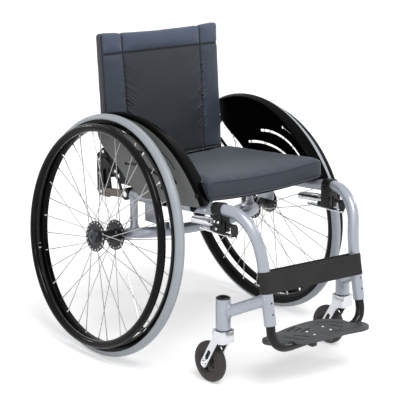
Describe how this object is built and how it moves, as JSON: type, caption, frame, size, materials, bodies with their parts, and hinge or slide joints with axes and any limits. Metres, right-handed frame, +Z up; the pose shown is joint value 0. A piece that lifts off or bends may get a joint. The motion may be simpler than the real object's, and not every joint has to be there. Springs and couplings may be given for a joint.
{
  "type": "active wheelchair",
  "caption": "Rigid-frame active wheelchair with cambered spoked wheels, push rims, swivel castors, a folding padded back, seat cushion, side guards and a footplate.",
  "frame": {"origin": "on the floor under the middle of the chair's length and width", "axes": "+X to the rider's left, +Y to the back of the chair, +Z up"},
  "size_m": [0.677, 0.851, 0.7914],
  "materials": {
    "tyre": "matte grey tread",
    "gloss_black": "gloss black",
    "hub_black": "satin black",
    "spoke_steel": "bright drawn wire",
    "axle_steel": "turned",
    "button_plastic": "moulded",
    "frame_paint": "pale silver powder coat",
    "fork_alloy": "polished",
    "bolt_chrome": "bright",
    "castor_rubber": "matte",
    "castor_plastic": "moulded",
    "cap_plastic": "moulded",
    "hinge_black": "satin black",
    "latch_plastic": "moulded",
    "guard_shell": "gloss black laminate",
    "brake_black": "satin black",
    "brake_chrome": "bright",
    "knob_plastic": "moulded",
    "cane_black": "satin black",
    "foot_tube_black": "gloss black",
    "footplate_plastic": "fine grain",
    "clamp_plastic": "moulded",
    "strap_webbing": "woven",
    "sling_fabric": "woven",
    "cushion_fabric": "slate grey synthetic",
    "pad_fabric": "slate grey synthetic"
  },
  "bodies": {
    "root": {"left_side_frame": "frame_paint", "left_rear_post": "frame_paint", "left_axle_pin": "axle_steel", "left_axle_receiver": "axle_steel", "left_stem_cap": "cap_plastic", "left_back_plate": "hinge_black", "left_back_arm": "hinge_black", "left_side_guard": "guard_shell", "left_brake_clamp": "brake_black", "right_side_frame": "frame_paint", "right_rear_post": "frame_paint", "right_axle_pin": "axle_steel", "right_axle_receiver": "axle_steel", "right_stem_cap": "cap_plastic", "right_back_plate": "hinge_black", "right_back_arm": "hinge_black", "right_side_guard": "guard_shell", "right_brake_clamp": "brake_black", "axle_tube": "frame_paint", "calf_strap": "strap_webbing", "seat_sling": "sling_fabric", "seat_cushion": "cushion_fabric"},
    "left_wheel": {"left_tyre": "tyre", "left_rim": "gloss_black", "left_push_rim": "gloss_black", "left_hub": "hub_black", "left_outer_spokes": "spoke_steel", "left_inner_spokes": "spoke_steel"},
    "left_axle_button": {"left_axle_button": "button_plastic"},
    "left_castor": {"left_castor_fork": "fork_alloy", "left_castor_bolt": "bolt_chrome"},
    "left_castor_wheel": {"left_castor_tyre": "castor_rubber", "left_castor_hub": "castor_plastic"},
    "left_back_latch": {"left_back_latch": "latch_plastic"},
    "left_brake_shoe": {"left_brake_shoe": "brake_chrome"},
    "left_brake_lever": {"left_brake_lever": "brake_chrome", "left_brake_knob": "knob_plastic"},
    "right_wheel": {"right_tyre": "tyre", "right_rim": "gloss_black", "right_push_rim": "gloss_black", "right_hub": "hub_black", "right_outer_spokes": "spoke_steel", "right_inner_spokes": "spoke_steel"},
    "right_axle_button": {"right_axle_button": "button_plastic"},
    "right_castor": {"right_castor_fork": "fork_alloy", "right_castor_bolt": "bolt_chrome"},
    "right_castor_wheel": {"right_castor_tyre": "castor_rubber", "right_castor_hub": "castor_plastic"},
    "right_back_latch": {"right_back_latch": "latch_plastic"},
    "right_brake_shoe": {"right_brake_shoe": "brake_chrome"},
    "right_brake_lever": {"right_brake_lever": "brake_chrome", "right_brake_knob": "knob_plastic"},
    "backrest": {"back_pad": "pad_fabric", "back_cross_bar": "cane_black", "left_back_cane": "cane_black", "right_back_cane": "cane_black"},
    "footrest": {"footrest_tube": "foot_tube_black", "footplate": "footplate_plastic", "left_footplate_clamp": "clamp_plastic", "right_footplate_clamp": "clamp_plastic"}
  },
  "joints": [
    {"name": "left_wheel_spin", "type": "hinge", "parent": "root", "child": "left_wheel", "pos_m": [0.2618, 0.1205, 0.30299], "axis": [0.993, 0, 0.1181], "continuous": true},
    {"name": "left_axle_button_press", "type": "slide", "parent": "root", "child": "left_axle_button", "axis": [-0.993, 0, -0.1181], "range_m": [0, 0.003], "stiffness_N_per_m": 300},
    {"name": "left_castor_swivel", "type": "hinge", "parent": "root", "child": "left_castor", "pos_m": [0.201, -0.26, 0.15], "axis": [0, 0, 1], "continuous": true},
    {"name": "left_castor_spin", "type": "hinge", "parent": "left_castor", "child": "left_castor_wheel", "pos_m": [0.201, -0.2132, 0.0504], "axis": [1, 0, 0], "continuous": true},
    {"name": "left_back_latch_turn", "type": "hinge", "parent": "root", "child": "left_back_latch", "pos_m": [0.1837, 0.2245, 0.4], "axis": [1, 0, 0], "range_deg": [0, 25], "stiffness_Nm_per_rad": 0.02},
    {"name": "left_brake_shoe_swing", "type": "hinge", "parent": "root", "child": "left_brake_shoe", "pos_m": [0.178, -0.19928, 0.386], "axis": [0, 0, -1], "range_deg": [0, 38]},
    {"name": "left_brake_lever_swing", "type": "hinge", "parent": "root", "child": "left_brake_lever", "pos_m": [0.178, -0.22728, 0.367], "axis": [0, 0, 1], "range_deg": [0, 38]},
    {"name": "right_wheel_spin", "type": "hinge", "parent": "root", "child": "right_wheel", "pos_m": [-0.2618, 0.1205, 0.30299], "axis": [-0.993, 0, 0.1181], "continuous": true},
    {"name": "right_axle_button_press", "type": "slide", "parent": "root", "child": "right_axle_button", "axis": [0.993, 0, -0.1181], "range_m": [0, 0.003], "stiffness_N_per_m": 300},
    {"name": "right_castor_swivel", "type": "hinge", "parent": "root", "child": "right_castor", "pos_m": [-0.201, -0.26, 0.15], "axis": [0, 0, 1], "continuous": true},
    {"name": "right_castor_spin", "type": "hinge", "parent": "right_castor", "child": "right_castor_wheel", "pos_m": [-0.201, -0.2132, 0.0504], "axis": [1, 0, 0], "continuous": true},
    {"name": "right_back_latch_turn", "type": "hinge", "parent": "root", "child": "right_back_latch", "pos_m": [-0.1837, 0.2245, 0.4], "axis": [1, 0, 0], "range_deg": [0, 25], "stiffness_Nm_per_rad": 0.02},
    {"name": "right_brake_shoe_swing", "type": "hinge", "parent": "root", "child": "right_brake_shoe", "pos_m": [-0.178, -0.19928, 0.386], "axis": [0, 0, 1], "range_deg": [0, 38]},
    {"name": "right_brake_lever_swing", "type": "hinge", "parent": "root", "child": "right_brake_lever", "pos_m": [-0.178, -0.22728, 0.367], "axis": [0, 0, -1], "range_deg": [0, 38]},
    {"name": "backrest_fold", "type": "hinge", "parent": "root", "child": "backrest", "pos_m": [0, 0.21467, 0.494], "axis": [1, 0, 0], "range_deg": [0, 71]},
    {"name": "footrest_height", "type": "slide", "parent": "root", "child": "footrest", "axis": [0, 0.1775, 0.9841], "range_m": [-0.027, 0.005]}
  ],
  "couplings": [
    {"joint": "left_brake_lever_swing", "follows": "left_brake_shoe_swing", "ratio": 1},
    {"joint": "right_brake_lever_swing", "follows": "right_brake_shoe_swing", "ratio": 1}
  ]
}
